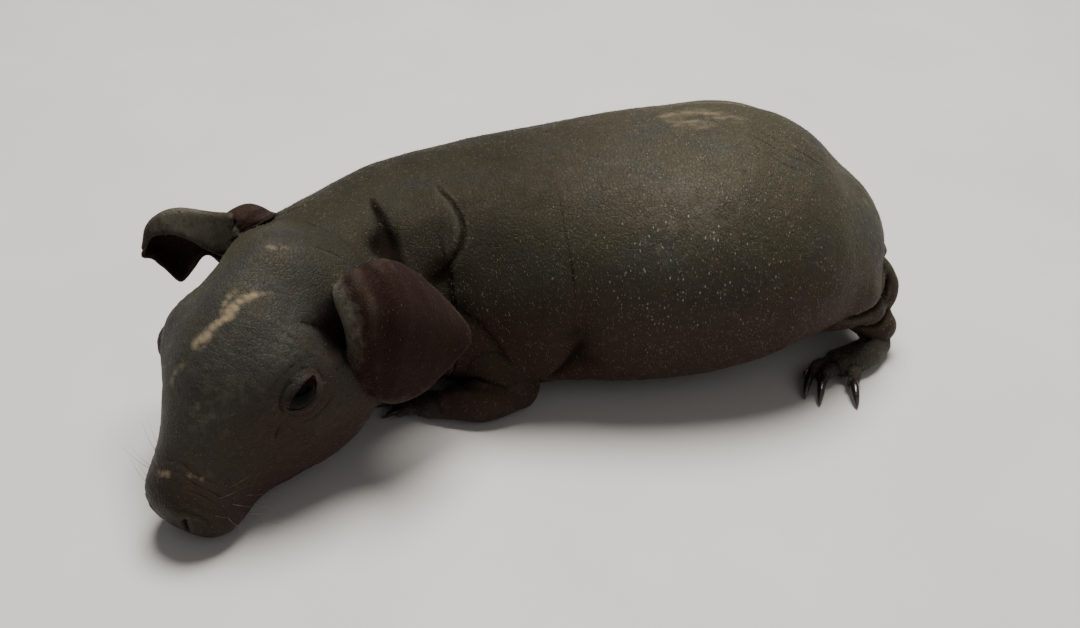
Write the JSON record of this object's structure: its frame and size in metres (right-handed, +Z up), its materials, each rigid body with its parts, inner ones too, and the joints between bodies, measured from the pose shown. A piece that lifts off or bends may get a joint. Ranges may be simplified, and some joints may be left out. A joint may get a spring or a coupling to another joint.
{
  "type": "hairless guinea pig figure",
  "caption": "Life-size still figure of a young hairless guinea pig lying at rest, head turned to its left, with drooping ears and folded neck skin.",
  "frame": {"origin": "middle of the bounding box in plan, on the floor under the belly and feet", "axes": "+Z up, -X towards the animal's head end, -Y on its left side, to which the head is turned"},
  "size_m": [0.1584, 0.1028, 0.054],
  "materials": {
    "skin": "matt bare skin, dark charcoal grey",
    "ear_skin": "thin bare skin, dark grey brown",
    "eye": "wet gloss, nearly black",
    "claw": "polished black horn"
  },
  "bodies": {
    "root": {"head": "skin", "neck": "skin", "chest": "skin", "abdomen": "skin", "rump": "skin", "foreleg_left": "skin", "forefoot_left": "skin", "thigh_left": "skin", "hindfoot_left": "skin", "foreleg_right": "skin", "forefoot_right": "skin", "thigh_right": "skin", "hindfoot_right": "skin", "ear_left": "ear_skin", "ear_right": "ear_skin", "eye_left": "eye", "eye_right": "eye", "forefoot_left_claw_1": "claw", "forefoot_left_claw_2": "claw", "forefoot_left_claw_3": "claw", "forefoot_left_claw_4": "claw", "hindfoot_left_claw_1": "claw", "hindfoot_left_claw_2": "claw", "hindfoot_left_claw_3": "claw", "forefoot_right_claw_1": "claw", "forefoot_right_claw_2": "claw", "forefoot_right_claw_3": "claw", "forefoot_right_claw_4": "claw", "hindfoot_right_claw_1": "claw", "hindfoot_right_claw_2": "claw", "hindfoot_right_claw_3": "claw"}
  },
  "joints": []
}
